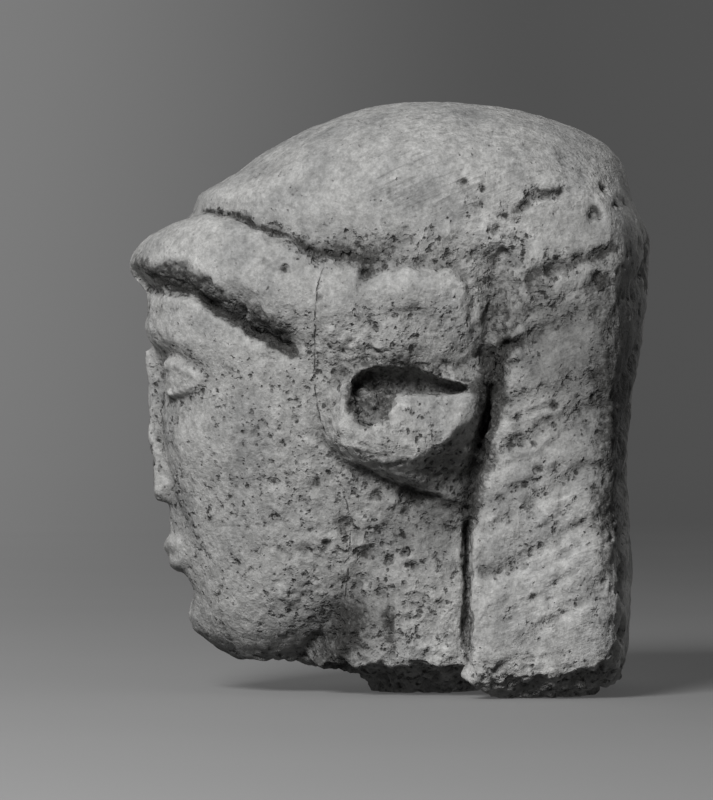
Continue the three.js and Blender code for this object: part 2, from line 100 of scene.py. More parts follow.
# Settings that a user would change
class StoneSettings(bpy.types.PropertyGroup):
    voxel: FloatProperty(
        name="Grain of the block",
        description="Size of the cells that the block is roughed out in",
        default=0.0011, min=0.0008, max=0.004, unit="LENGTH", precision=4,
    )
    softening: IntProperty(
        name="Weathering",
        description="How many times the roughed-out block is smoothed",
        default=22, min=0, max=80,
    )
    roughness_height: FloatProperty(
        name="Unevenness",
        description="Height of the broad unevenness of the worn surface",
        default=0.0011, min=0, max=0.004, unit="LENGTH", precision=4,
    )
    triangles: IntProperty(
        name="Triangles",
        description="Most triangles in the finished stone",
        default=194000, min=20000, max=199000,
    )
    pale: FloatVectorProperty(
        name="Clean stone",
        description="Colour of clean, rubbed limestone",
        default=(0.60, 0.597, 0.585), min=0, max=1, subtype="COLOR",
    )
    dusty: FloatVectorProperty(
        name="Mottled stone",
        description="Colour of the greyer patches",
        default=(0.45, 0.45, 0.445), min=0, max=1, subtype="COLOR",
    )
    # This colour paints the old dirt and also painted shade, in the pits, hollows and seams, under
    # the ear and on the hair's turn to the back.
    dirt_and_shade: FloatVectorProperty(
        name="Old dirt",
        description="Colour of the dirt in pits and recesses",
        default=(0.045, 0.044, 0.042), min=0, max=1, subtype="COLOR",
    )


class StudioSettings(bpy.types.PropertyGroup):
    floor: FloatVectorProperty(
        name="Floor",
        description="Colour of the paper floor and backdrop",
        default=(0.31, 0.31, 0.31), min=0, max=1, subtype="COLOR",
    )
    key: FloatProperty(
        name="Key light",
        description="Power of the large soft lamp above the head",
        default=34, min=0, unit="POWER",
    )
    back: FloatProperty(
        name="Back light",
        description="Power of the soft lamp behind the right side, which lights the head alone",
        default=10, min=0, unit="POWER",
    )
    fill: FloatProperty(
        name="Fill light",
        description="Strength of the even light from all round",
        default=0.05, min=0,
    )
    glow: FloatProperty(
        name="Backdrop light",
        description="How much light the paper gives of its own, as if lit from behind",
        default=0.07, min=0,
    )
    distance: FloatProperty(
        name="Camera distance",
        description="From the middle of the head to the camera",
        default=2.4, min=0.5, unit="LENGTH",
    )
    view_height: FloatProperty(
        name="Height of view",
        description="What the picture spans from bottom to top at the head",
        default=0.368, min=0.1, unit="LENGTH",
    )


# Noise on points in millimetres: smooth random values between -1 and 1
def lattice_noise(points, size, seed):
    """One layer, from cells of this size. The large numbers give each corner a random value."""
    p = points / size + 100.0 * seed
    cell = np.floor(p)
    f = p - cell
    f = f * f * f * (f * (f * 6 - 15) + 10)
    cell = cell.astype(np.int64)
    total = np.zeros(len(points))
    for corner in np.ndindex(2, 2, 2):
        x, y, z = (cell + corner).T
        h = (x * 374761393 + y * 668265263 + z * 2147483647 + seed * 974634777) & 0x7FFFFFFF
        h = ((h ^ (h >> 13)) * 1274126177) & 0x7FFFFFFF
        h = ((h ^ (h >> 16)) * 668265263) & 0x7FFFFFFF
        value = ((h >> 8) & 0xFFFF) / 32767.5 - 1
        weight = np.prod(np.where(corner, f, 1 - f), axis=1)
        total += value * weight
    return total


def layered_noise(points, size, seed, layers=3):
    """Layers of noise, each of half the size and half the height of the last."""
    total = np.zeros(len(points))
    for i in range(layers):
        total += lattice_noise(points, size / 2**i, seed + i) / 2**i
    return total / 1.6


def smoothstep(values, low, high):
    """0 below low and 1 above high, with a soft rise between them."""
    t = np.clip((values - low) / (high - low), 0, 1)
    return t * t * (3 - 2 * t)


def falling(values, low, high):
    """1 below low and 0 above high, with a soft fall between them."""
    return 1 - smoothstep(values, low, high)


# The working shape: points in millimetres with their normals and neighbours
class Shape:
    def __init__(self, piece):
        self.piece = piece
        mesh = piece.data
        self.points = np.empty(3 * len(mesh.vertices), np.float32)
        mesh.vertices.foreach_get("co", self.points)
        self.points = self.points.reshape(-1, 3).astype(float) / MM
        self.edges = np.empty(2 * len(mesh.edges), np.int32)
        mesh.edges.foreach_get("vertices", self.edges)
        self.edges = self.edges.reshape(-1, 2)
        self.refresh()

    def refresh(self):
        """Writes the points into the mesh and reads the new normals."""
        mesh = self.piece.data
        mesh.vertices.foreach_set("co", (self.points * MM).astype(np.float32).ravel())
        mesh.update()
        normals = np.empty(3 * len(mesh.vertices), np.float32)
        mesh.vertices.foreach_get("normal", normals)
        self.normals = normals.reshape(-1, 3).astype(float)

    def press(self, depths):
        """Moves each point into the stone by its depth."""
        self.points -= self.normals * depths[:, None]
        self.refresh()

    def averaged(self, values, times):
        """Values spread out over neighbouring points."""
        a, b = self.edges.T
        n = len(self.points)
        links = np.bincount(a, minlength=n) + np.bincount(b, minlength=n)
        for _ in range(times):
            near = np.bincount(a, values[b], n) + np.bincount(b, values[a], n)
            values = 0.5 * values + 0.5 * near / np.maximum(links, 1)
        return values


def path_distance(flat, path):
    """Distance of flat points from a path of straight lines, and how far along it they are."""
    best = np.full(len(flat), 1e9)
    along = np.zeros(len(flat))
    lengths = [math.dist(a, b) for a, b in zip(path, path[1:])]
    total = sum(lengths)
    done = 0
    for a, b, length in zip(path, path[1:], lengths):
        a, b = np.array(a, float), np.array(b, float)
        t = np.clip((flat - a) @ (b - a) / length**2, 0, 1)
        d = np.linalg.norm(flat - a - t[:, None] * (b - a), axis=1)
        nearer = d < best
        best[nearer] = d[nearer]
        along[nearer] = ((done + t * length) / total)[nearer]
        done += length
    return best, along


def shaken(points):
    """The side view's (y, z) of each point, shaken so that what is drawn on it turns ragged."""
    coarse = [lattice_noise(points, 9, seed) for seed in (41, 43)]
    fine = [lattice_noise(points, 3.6, seed) for seed in (45, 47)]
    return points[:, 1:] + 1.5 * np.transpose(coarse) + 0.9 * np.transpose(fine)


def side_stroke(shape, flat, side, path, width, depth, facing=0.15):
    """Depths of a tool stroke that runs along a path of (y, z) on one side of the head."""
    distance, along = path_distance(flat, path)
    profile = np.exp(-((distance / width) ** 2))
    ends = smoothstep(along, 0, RUN_OUT) * smoothstep(1 - along, 0, RUN_OUT) * 0.75 + 0.25
    outward = shape.normals[:, 0] * side
    seen = smoothstep(outward, facing - 0.25, facing + 0.1) * (shape.points[:, 0] * side > 0)
    return depth * profile * ends * seen


def flake(shape, at, facing, radius, depth):
    """Breaks a flat flake off the stone round a point, down to a plane."""
    facing = np.array(facing, float)
    facing /= np.linalg.norm(facing)
    offset = shape.points - np.array(at, float)
    distance = np.linalg.norm(offset, axis=1)
    near = distance < radius * 1.6
    above = (offset[near] @ facing) + depth
    ragged = 1.2 + 0.4 * lattice_noise(shape.points[near], 4, 57)
    reach = falling(distance[near] * ragged, radius, radius * 1.6)
    shape.points[near] -= facing * (np.maximum(above, 0) * reach)[:, None]


# Roughing out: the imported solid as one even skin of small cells, with its edges worn soft
def rough_out(settings):
    """The smoothed block, as a shape to carve."""
    bpy.ops.object.select_all(action="DESELECT")
    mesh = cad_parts[NODE].data.copy()
    mesh.name = "carved_stone"
    mesh.materials.clear()
    piece = bpy.data.objects.new("carved_stone", mesh)
    bpy.context.collection.objects.link(piece)
    bpy.context.view_layer.objects.active = piece
    piece.select_set(True)
    bpy.ops.object.mode_set(mode="EDIT")
    bpy.ops.mesh.select_all(action="SELECT")
    bpy.ops.mesh.remove_doubles(threshold=1e-6)
    bpy.ops.object.mode_set(mode="OBJECT")
    skin = piece.modifiers.new("skin", "REMESH")
    skin.mode = "VOXEL"
    skin.voxel_size = settings.voxel
    skin.adaptivity = 0
    bpy.ops.object.modifier_apply(modifier=skin.name)
    shape = Shape(piece)
    soften(piece, wear_amounts(shape), settings.softening)
    soften(piece, ruined_amounts(shape), RUIN * settings.softening)
    soften(piece, corner_amounts(shape), CORNER_WEAR * settings.softening)
    return Shape(piece)


def soften(piece, amounts, times):
    """Smooths the piece, each point by its own amount."""
    group = piece.vertex_groups.new(name="amounts")
    for level in range(1, 11):
        chosen = np.nonzero(np.round(amounts * 10) == level)[0]
        group.add(chosen.tolist(), level / 10, "REPLACE")
    smooth = piece.modifiers.new("smooth", "SMOOTH")
    smooth.factor = 0.5
    smooth.iterations = times
    smooth.vertex_group = group.name
    bpy.ops.object.modifier_apply(modifier=smooth.name)
    piece.vertex_groups.clear()


def wear_amounts(shape):
    """How much each point is smoothed: less at eyes and lips, none at the resting plane."""
    x, y, z = shape.points.T
    side = np.abs(x)
    front = falling(y, -85, -60)
    eyes = np.exp(-(((side - EYE_X) / 20) ** 2) - ((z - EYE_Z) / 13) ** 2) * front
    lips = np.exp(-((side / 28) ** 2) - ((z - MOUTH_Z) / 11) ** 2) * front
    ears = np.exp(-(((y - 2) / 34) ** 4) - ((z - 128) / 26) ** 2) * smoothstep(side, 60, 70)
    amounts = 1 - 0.72 * eyes - 0.72 * lips - 0.5 * ears
    return np.clip(amounts, 0.1, 1) * smoothstep(z, 0.3, 3)


def ruined_amounts(shape):
    """Where the carving is worn almost away: the cap's rim over the ears and the hair's sides."""
    x, y, z = shape.points.T
    side = np.abs(x)
    flat = shaken(shape.points)
    rim = np.exp(-(((y - 18) / 52) ** 4) - ((z - 204) / 9) ** 4)
    behind_ear = np.exp(-(((y - 42) / 9) ** 4) - ((z - 166) / 26) ** 4)
    hair = 0.7 * falling(z, 190, 215) * smoothstep(y, 44, 52) * falling(y, 108, 114)
    stump = np.exp(-((side / 16) ** 4) - ((z - NOSE_Z - 20) / 34) ** 4) * falling(y, -106, -100)
    lines = near_lines(shape.points, flat, [CREASE], 7)
    lines += near_lines(shape.points, flat, [BEHIND_EAR], 6)
    on_side = np.clip(rim + behind_ear + hair, 0, 1) * smoothstep(side, 58, 68)
    return np.clip(on_side + lines + 0.5 * stump, 0, 1) * smoothstep(z, 4, 14)


def corner_amounts(shape):
    """Where the hair turns to the back, so that no strand notches the turn."""
    y, z = shape.points[:, 1:].T
    turn = smoothstep(y, 82, 93) * falling(y, 106, 113) * falling(z, 195, 215)
    return turn * smoothstep(np.abs(shape.points[:, 0]), 56, 66) * smoothstep(z, 6, 16)


# Ragged gouges in the hair of the crown, for each side, as (y, z), and their width and depth
GOUGES = {
    1: [
        [(62, 187), (79, 194), (97, 200.5)],
        [(89, 183), (95, 188)],
        [(55, 218), (62, 224), (71, 228)],
    ],
    -1: [[(42, 222), (60, 226), (72, 230)], [(60, 184), (86, 194)]],
}
GOUGE_CUT = (2.6, 2.9)

# The largest single holes in the left side, as (y, z, radius), and their depth
HOLES = [
    (51, 215, 2.4), (75, 227, 2), (90, 217.5, 3.6), (96, 228, 2.8),
    (101, 220, 1.8), (92.5, 187.5, 3), (33, 231, 2.2), (40, 228, 2),
    (-47.5, 191, 3), (-21.5, 75.5, 3.2), (-5.5, 91.5, 2.4), (-29, 68, 2.2), (-12, 63.5, 3.2),
    (-1.5, 62, 2.4), (5, 65, 2), (8, 59, 2.8), (-33, 97, 2.2), (66, 102, 2.2), (72, 131, 2),
]
HOLE_DEPTH = 2.6

# Worn grooves between the hanging strands, as (y, z) from the hair's front edge to its turn
GROOVES = [
    [(50, 157), (75, 166), (90, 174)],
    [(51, 133), (75, 139), (90, 146)],
    [(53, 114), (74, 124), (90, 132)],
    [(41, 76), (60, 85), (78, 99), (89, 106.5)],
    [(41, 57), (55, 60), (76, 73), (88, 80)],
    [(60, 30), (78, 40), (88, 46)],
]
FINE_GROOVES = [
    [(53, 168), (70, 176), (88, 184)],
    [(54, 124), (72, 131), (88, 140.5)],
    [(48, 103), (64, 109), (80, 121), (88, 124.5)],
    [(50, 92), (66, 97), (82, 110)],
    [(52, 71), (68, 78), (86, 92)],
    [(62, 57), (78, 65), (86, 69.5)],
    [(50, 40), (66, 47), (86, 61)],
]
SHORT_GROOVE = [(40, 57), (50, 59.5)]

# How they are cut: grooves, width and depth
STRAND_CUTS = (
    (GROOVES, 3.0, 1.35),
    (FINE_GROOVES, 1.6, 0.8),
    ([SHORT_GROOVE], 1.6, 1.4),
)


def carve_strands(shape):
    """The worn grooves between the strands on the sides, and gouges and holes in the crown."""
    points = shape.points
    flat = shaken(points)
    depths = np.zeros(len(points))
    for side in (1, -1):
        for grooves, width, depth in STRAND_CUTS:
            for path in grooves:
                depths += side_stroke(shape, flat, side, path, width, depth)
    broken = 0.2 + 0.8 * smoothstep(lattice_noise(points, 6, 67), -0.3, 0.3)
    for side, gouges in GOUGES.items():
        for path in gouges:
            depths += side_stroke(shape, flat, side, path, *GOUGE_CUT) * broken
    shape.press(depths + HOLE_DEPTH * near_holes(points, flat))


def near_holes(points, flat):
    """1 in the largest single holes, fading away from them."""
    share = np.zeros(len(points))
    ragged = 1 + 0.5 * lattice_noise(points, 2.4, 71)
    for y, z, radius in HOLES:
        distance = np.hypot(flat[:, 0] - y, flat[:, 1] - z) * ragged
        share = np.maximum(share, np.exp(-((distance / (0.75 * radius)) ** 2)))
    return share * smoothstep(points[:, 0], 20, 35)


# Lines where two forms meet on the side of the head, as (y, z)
CREASE = [(-85, 220), (-69, 215), (-51, 208.5), (-41.6, 203.3), (-25, 198.5), (-10, 196)]
BEHIND_EAR = [(52.5, 157), (48, 148), (46, 134), (43.5, 120), (40.5, 104), (37.5, 94), (35, 86)]
EAR_BRANCH = [(42, 153), (43.5, 149.5), (45.5, 145)]
ROLL_FOOT = [
    (-110, 188), (-96, 185), (-81, 177), (-70, 169), (-62, 164), (-50, 157.5), (-42, 154),
]
ROLL_CHIPS = [(-112, 192), (-92, 188), (-74, 177), (-48, 163.5)]
PIT_RING = [(-10, 143.5), (-16, 139), (-17, 131), (-12, 126), (-4, 126)]
SLIT_TOP = [(-24, 146), (-10, 150), (4, 151), (20, 147), (36, 141)]
UNDER_LOBE = [(-33, 118), (-24, 106), (-11, 101), (4, 94), (22, 88), (35, 85)]
SLOT = [(34, 84), (34, 70), (34.8, 55), (34, 42), (34, 28), (33.4, 16)]
UPPER_LOBE = [
    (-14, 176), (-13, 188), (-4, 193), (12, 194.5), (27, 193), (34, 187), (37, 175), (38, 160),
]

BEHIND_EAR_DEPTH = 5
BEHIND_EAR_REACH = 3.3

# How the seams are cut: line, width, depth, and the least that a point faces outwards
SEAMS = (
    (CREASE, 1.0, 3.0, -0.3),
    (ROLL_FOOT, 2.0, 3.5, -0.6),
    (EAR_BRANCH, 1.7, 1.3, 0),
    (UNDER_LOBE, 1.6, 1.2, 0),
    (SLOT, 1.1, 2.0, 0),
)
EAR_SEAMS = (
    (UPPER_LOBE, 2.0, 1.5, 0),
    (PIT_RING, 2.2, 3.0, 0),
)

# Rounded hollows (over 0) and bulges (under 0) of the ear: middle and reach in (y, z), and depth
EAR_HOLLOWS = (
    ((12, 184), (19, 7), -1.4),
    ((9, 170), (14, 4.5), 2.6),
    ((46, 182), (6, 22), 1.2),
    ((-20, 201), (13, 7), 2.0),
    ((-10, 132), (3.2, 3.2), -2.8),
    ((-2, 137), (2.6, 4.0), -2.4),
)


def carve_seams(shape):
    """The creases over and under the brow roll, the groove behind the ear and the neck's slot."""
    flat = shaken(shape.points)
    outward = np.sign(shape.points[:, 0])
    groove = near_lines(shape.points, flat, [BEHIND_EAR], BEHIND_EAR_REACH)
    shape.points[:, 0] -= outward * BEHIND_EAR_DEPTH * groove
    shape.refresh()
    depths = np.zeros(len(shape.points))
    for side in (1, -1):
        for line, width, depth, facing in SEAMS:
            depths += side_stroke(shape, flat, side, line, width, depth, facing)
    shape.press(depths)


def carve_ears(shape):
    """The upper lobe's outline, bulge and hollow, the recess round it and the pit's lumps."""
    flat = shaken(shape.points)
    depths = np.zeros(len(shape.points))
    for side in (1, -1):
        for line, width, depth, facing in EAR_SEAMS:
            depths += side_stroke(shape, flat, side, line, width, depth, facing)
        for middle, reach, depth in EAR_HOLLOWS:
            depths += dish(shape, flat, side, middle, reach, depth)
    shape.press(depths)


def dish(shape, flat, side, middle, reach, depth):
    """Depths of a rounded hollow on one side, about a middle and with a reach in (y, z)."""
    offset = (flat - middle) / reach
    seen = smoothstep(shape.normals[:, 0] * side, -0.1, 0.3) * (shape.points[:, 0] * side > 0)
    return depth * np.exp(-np.sum(offset**2, axis=1)) * seen


# Flat chips along the lower edge of the brow roll: from and to (degrees round from the middle of
# the forehead), height of the chip's upper edge over the roll's lower edge, and its turn
CHIPS = {
    1: ((4, 22, 12, -10), (22, 41, 10, 8), (41, 48.5, 16, -6), (48.5, 53, 9, 5), (53, 59, 13, -8),
        (59, 68, 10, 6)),
    -1: ((-4, 4, 6, 0), (4, 15, 9, 6), (15, 33, 13, -7), (33, 40, 8, 9), (40, 52, 14, -5),
         (52, 60, 8, 8), (60, 67, 11, -6)),
}


# The oval that the brow roll follows in plan: half its width and depth, and the y of its middle
ROLL_HALF_WIDTH = 80
ROLL_HALF_DEPTH = 130
ROLL_MIDDLE_Y = 10

CHIP_LEAN = 0.95  # how far a chip leans out for each millimetre up


def roll_low(y):
    """Height of the brow roll's lower edge at the depth y, as in the solid."""
    return np.interp(y, (-111, -92, -74, -46, -14, 8), (184, 181, 171, 157, 146, 153))


def chip_roll(shape):
    """Breaks the lower edge of the brow roll back to a row of flat slanting chips."""
    p = shape.points
    uneven = 1.6 * lattice_noise(p, 7, 51)
    above_low = p[:, 2] - roll_low(p[:, 1])
    on_roll = (p[:, 1] < 0) & (above_low > -4) & (above_low < 24)
    for side, chips in CHIPS.items():
        across = p[:, 0] * side / ROLL_HALF_WIDTH
        ahead = (ROLL_MIDDLE_Y - p[:, 1]) / ROLL_HALF_DEPTH
        angle = np.degrees(np.arctan2(across, ahead)) + uneven
        for start, end, height, turn in chips:
            chosen = np.nonzero(on_roll & (angle > start) & (angle < end))[0]
            round_to = math.radians((start + end) / 2)
            outward = np.array([side * math.sin(round_to), -math.cos(round_to)])
            outward /= (ROLL_HALF_WIDTH, ROLL_HALF_DEPTH)
            outward /= np.linalg.norm(outward)
            found = chosen[np.abs(above_low[chosen] - height) < 1.2]
            edge = p[found][np.argmax(p[found][:, :2] @ outward)]
            turned = math.atan2(outward[1], outward[0]) + math.radians(turn)
            flat = np.array([math.cos(turned), math.sin(turned)])
            over = (p[chosen][:, :2] - edge[:2]) @ flat
            over -= CHIP_LEAN * (p[chosen][:, 2] - edge[2])
            over += 0.5 * lattice_noise(p[chosen], 5, 53)
            fading = smoothstep(above_low[chosen], -3.5, 0.5) * falling(angle[chosen], 56, 67)
            shift = np.maximum(over, 0) * fading / (flat @ outward)
            p[chosen, :2] -= outward * shift[:, None]
    shape.refresh()


def weather(shape, height):
    """Broad unevenness, lumps and holes where the stone is coarse, and finer roughness."""
    p = shape.points
    coarse = layered_noise(p, 38, 3)
    middle = layered_noise(p, 13, 5)
    lumps = layered_noise(p, 6.5, 9, 2)
    fine = layered_noise(p, 3.8, 7, 2)
    rough = roughness_of(p)
    depths = height * (coarse + 0.5 * middle * (0.5 + 0.7 * rough))
    depths += (1.4 * lumps + 0.75 * fine) * (0.2 + rough)
    hollows = smoothstep(layered_noise(p, 5, 61, 2), 0.28, 0.55)
    depths += 1.5 * hollows * smoothstep(rough, 0.45, 1.1)
    shape.press(depths * (1 - 0.45 * face_share(p)))


def face_share(points):
    """1 on the face between the brow roll and the chin, 0 elsewhere."""
    y, z = points[:, 1:].T
    return falling(y, -70, -50) * falling(z, 165, 180)


def near_lines(points, flat, lines, reach, side=0):
    """1 on lines drawn on one side of the head, or on both, fading away from them."""
    nearest = np.min([path_distance(flat, line)[0] for line in lines], axis=0)
    out = points[:, 0] * side if side else np.abs(points[:, 0])
    return np.exp(-((nearest / reach) ** 2)) * smoothstep(out, 20, 35)


def along_lines(points, flat, table):
    """The strengths of lines on both sides, each fading over its reach, added up."""
    total = np.zeros(len(points))
    for lines, reach, strength in table:
        total += strength * near_lines(points, flat, lines, reach)
    return total


def patch(points, middle, reach, power=2):
    """1 at a middle in (y, z), fading away from it over a reach in each direction."""
    offset = np.abs(points[:, 1:] - middle) / reach
    return np.exp(-np.sum(offset**power, axis=1))


# Patches of coarse grain on both sides: middle and reach in (y, z), power and strength
COARSE_PATCHES = (
    ((50, 186), (20, 24), 2, 1.0),
    ((-2, 201), (34, 9), 2, 0.9),
    ((8, 158), (34, 11), 2, 0.45),
    ((-7, 134), (10, 9), 2, 0.9),
    ((6, 120), (32, 16), 2, 0.25),
    ((28, 104), (14, 12), 2, 0.5),
    ((94, 110), (7, 90), 4, 0.55),
    ((-22, 128), (14, 20), 2, 0.35),
)

# Coarse grain along lines: the lines, reach and strength
COARSE_LINES = (
    (GROOVES, 4, 0.42),
    (FINE_GROOVES, 3, 0.2),
    ([BEHIND_EAR], 7, 1.0),
    ([SLIT_TOP, PIT_RING], 5, 0.5),
    ([SLOT], 6, 0.35),
    ([CREASE, ROLL_CHIPS], 4, 0.5),
)


def roughness_of(points):
    """Share of coarse grain: high in the recess round the ear, in grooves and at breaks."""
    x, y, z = points.T
    side = np.abs(x)
    flat = shaken(points)
    patches = np.zeros(len(points))
    for middle, reach, power, strength in COARSE_PATCHES:
        patches += strength * patch(points, middle, reach, power)
    seams = along_lines(points, flat, COARSE_LINES)
    for gouged_side, gouges in GOUGES.items():
        seams += 0.6 * near_lines(points, flat, gouges, 5, gouged_side)
    hair = smoothstep(y, 35, 50) * falling(z, 180, 215) * (0.02 + 0.08 * smoothstep(z, 50, 90))
    jaw = smoothstep(y, -75, -25) * falling(y, 25, 40) * falling(z, 95, 125) * 0.29
    cheek = falling(y, 20, 40) * falling(z, 170, 200) * 0.28
    crown = 0.35 * patch(points, (37, 226), (7, 10)) * (x > 0)
    nose = np.exp(-((side / 14) ** 2) - ((z - NOSE_Z - 22) / 26) ** 2) * falling(y, -106, -102)
    low = falling(z, 10, 24) * 0.8
    on_side = patches * smoothstep(side, 55, 68) + seams
    return np.clip(0.13 + on_side + hair + jaw + cheek + crown + 0.7 * nose + low, 0, 1.3)


def chip_edges(shape, draw):
    """Flakes broken off the neck, the ends of the hair and the back."""
    x, y, z = shape.points.T
    at_break = (z < 14) & (z > 2)
    at_back = (y > 112) & (z > 180) & (z < 216)
    at_corners = (y > 100) & (z < 60) & (np.abs(x) > 64)
    for place, count, radii, depths in (
        (at_break, 150, (3, 8), (0.6, 2.0)),
        (at_back, 22, (3, 8), (0.3, 0.9)),
        (at_corners, 16, (3, 7), (0.4, 1.4)),
    ):
        candidates = np.nonzero(place)[0]
        for i in draw.choice(candidates, count, replace=False):
            tilt = draw.normal(0, 0.35, 3)
            radius = draw.uniform(*radii)
            depth = draw.uniform(*depths)
            flake(shape, shape.points[i].copy(), shape.normals[i] + tilt, radius, depth)
    shape.refresh()


def pick_holes(shape, draw):
    """Small ragged holes where the stone's grains and shells have fallen out."""
    low, high = SMALL_HOLE_RADII
    p = shape.points
    weight = 0.05 + roughness_of(p) ** 1.4
    weight *= 1 - 0.85 * face_share(p) * (np.abs(p[:, 2] - EYE_Z) < 16)
    weight *= 0.12 + smoothstep(layered_noise(p, 22, 21), -0.2, 0.5)
    weight[p[:, 2] < 1.5] = 0
    chosen = draw.choice(len(p), SMALL_HOLE_COUNT, replace=False, p=weight / weight.sum())
    ragged = 1 + 0.45 * lattice_noise(p, 1.8, 23)
    tree = KDTree(len(p))
    for i, point in enumerate(p):
        tree.insert(point, i)
    tree.balance()
    depths = np.zeros(len(p))
    for i in chosen:
        radius = low + (high - low) * draw.random() ** 3
        stretch = draw.uniform(0.6, 1.4, 3)
        centre = p[i]
        for point, k, _ in tree.find_range(centre, radius * 1.5):
            d = np.linalg.norm((np.array(point) - centre) * stretch) * ragged[k] / radius
            if d < 1:
                depths[k] = max(depths[k], 0.7 * radius * (1 - d * d))
    shape.press(depths)


# What the material reads, kept on the points
def skin_bend(shape):
    """How the skin bends at each point: over 0 in a hollow, under 0 on an edge."""
    n = len(shape.points)
    a, b = shape.edges.T
    delta = shape.points[b] - shape.points[a]
    length = np.linalg.norm(delta, axis=1) + 1e-9
    bend_a = np.einsum("ij,ij->i", delta, shape.normals[a]) / length
    bend_b = -np.einsum("ij,ij->i", delta, shape.normals[b]) / length
    links = np.maximum(np.bincount(a, minlength=n) + np.bincount(b, minlength=n), 1)
    return (np.bincount(a, bend_a, n) + np.bincount(b, bend_b, n)) / links


def write_attributes(shape):
    """How hollow, coarse and finely combed each point is, with its old dirt and painted shade, and
    its broad washes of painted light and shade and of cleaner and grimier stone.
    """
    p = shape.points
    bend = skin_bend(shape)
    fine = shape.averaged(bend, 2)
    middle = shape.averaged(bend, 8)
    broad = shape.averaged(bend, 30)
    hollow = np.clip(1.6 * fine + 3 * middle + 5 * broad, -1, 1)
    grain = roughness_of(p) * 0.75 + 3.5 * middle + 5 * broad
    y, z = p[:, 1:].T
    combed = smoothstep(z, 212, 224) * smoothstep(y, -30, 0)
    combed += 0.4 * smoothstep(y, 44, 56) * falling(z, 170, 190)
    for name, values in (
        ("hollow", 0.5 + 0.5 * hollow),
        ("grain", np.clip(grain, 0, 1)),
        ("stain", np.clip(dirt_and_painted_shade(p), 0, 1)),
        ("clean", cleanness_and_painted_light(p)),
        ("combed", combed),
    ):
        layer = shape.piece.data.attributes.new(name, "FLOAT", "POINT")
        layer.data.foreach_set("value", values.astype(np.float32))


# Patches of old dirt and of painted shade, the shade under the ear's lobe, in the ear's pit,
# behind the ear, at the crease's end, under the brow roll and on the hair's turn to the back:
# side (1 is the left), middle and reach in (y, z), and strength
DIRT_AND_SHADE_PATCHES = (
    (1, (-20, 33), (9, 12), 0.9),
    (1, (-10, 36), (16, 17), 0.4),
    (1, (9, 89), (6, 6), 0.7),
    (1, (-1, 30), (3, 12), 0.7),
    # Painted shade: the left wall of the ear's pit, the groove behind the ear and the dark end of
    # the crease over the ear
    (1, (-19, 137), (5, 10), 0.6),
    (1, (40, 136), (5, 12), 0.8),
    (1, (-20, 200), (11, 7), 0.8),
    (1, (-2, 201), (8, 8), 0.6),
    (1, (18, 199), (18, 6), 0.4),
    (1, (-28, 16), (14, 9), 1.0),
    (1, (-11, 190), (4, 4), 0.8),
    (1, (54, 178), (20, 18), 0.62),
    (1, (42, 165), (9, 12), 0.3),
    # Painted shade: the top of the groove behind the ear, the upper lobe's hollow and lower face,
    # and under the brow roll
    (1, (43, 150), (3.5, 6), 0.9),
    (1, (8, 170), (10, 6), 0.5),
    (1, (8, 158), (30, 5), 0.35),
    (1, (-53, 157), (9, 9), 0.5),
    # Painted shade under the ear's lobe, on the brow roll's broken front end and on the hair's
    # turn to the back
    (1, (24, 79), (17, 9), 0.6),
    (1, (-117, 197), (5, 12), 1.1),
    (1, (95, 110), (7, 95), 0.75),
    (1, (110, 120), (11, 110), 0.6),
    # The right side: painted shade at the crease's end and under the ear's lobe, old dirt behind
    # the ear and on the neck
    (-1, (-10, 196), (15, 12), 0.6),
    (-1, (44, 186), (18, 18), 0.5),
    (-1, (27, 105), (12, 12), 0.6),
    (-1, (-14, 40), (20, 20), 0.5),
)

# Old dirt and painted shade along the creases, the grooves between the strands, the slot and
# round the ear's slit and pit: the lines, reach and strength
DIRT_AND_SHADE_LINES = (
    ([CREASE], 1.2, 1.1),
    ([CREASE], 5.0, 0.25),
    ([ROLL_FOOT], 2.2, 1.1),
    ([ROLL_CHIPS], 6.5, 0.85),
    ([BEHIND_EAR], 5.5, 1.1),
    ([EAR_BRANCH], 2.4, 0.9),
    ([SLIT_TOP], 4.0, 0.75),
    ([PIT_RING], 3.2, 0.8),
    ([UNDER_LOBE], 3.5, 0.7),
    ([SLOT], 2.0, 0.9),
    (GROOVES, 3.0, 0.34),
    (FINE_GROOVES, 1.8, 0.2),
)


def dirt_and_painted_shade(points):
    """How much old dirt and painted shade each point takes: in patches, along the seams, darker
    towards the foot, and painted shade in the ear's slit and pit.
    """
    x, _, z = points.T
    side = np.abs(x)
    flat = shaken(points)
    total = 1.1 * near_holes(points, flat) + along_lines(points, flat, DIRT_AND_SHADE_LINES)
    for patch_side, middle, reach, strength in DIRT_AND_SHADE_PATCHES:
        total += strength * patch(points, middle, reach) * smoothstep(x * patch_side, 0, 30)
    for gouged_side, gouges in GOUGES.items():
        total += 0.75 * near_lines(points, flat, gouges, 3.2, gouged_side)
    total *= 0.9 + 0.4 * layered_noise(points, 9, 31)
    # Painted shade along the foot, just over the floor
    total += 0.5 * falling(z, 1, 6)
    # Painted shade deep in the ear's slit and in its pit
    painted_shade_in_slit = 0.55 * patch(points, (8, 142), (31, 14), 8) * falling(side, 73, 80)
    painted_shade_in_pit = 0.8 * patch(points, (-6, 135), (12, 11), 4) * falling(side, 77, 83)
    return np.maximum(total, np.maximum(painted_shade_in_slit, painted_shade_in_pit) * smoothstep(side, 40, 50))


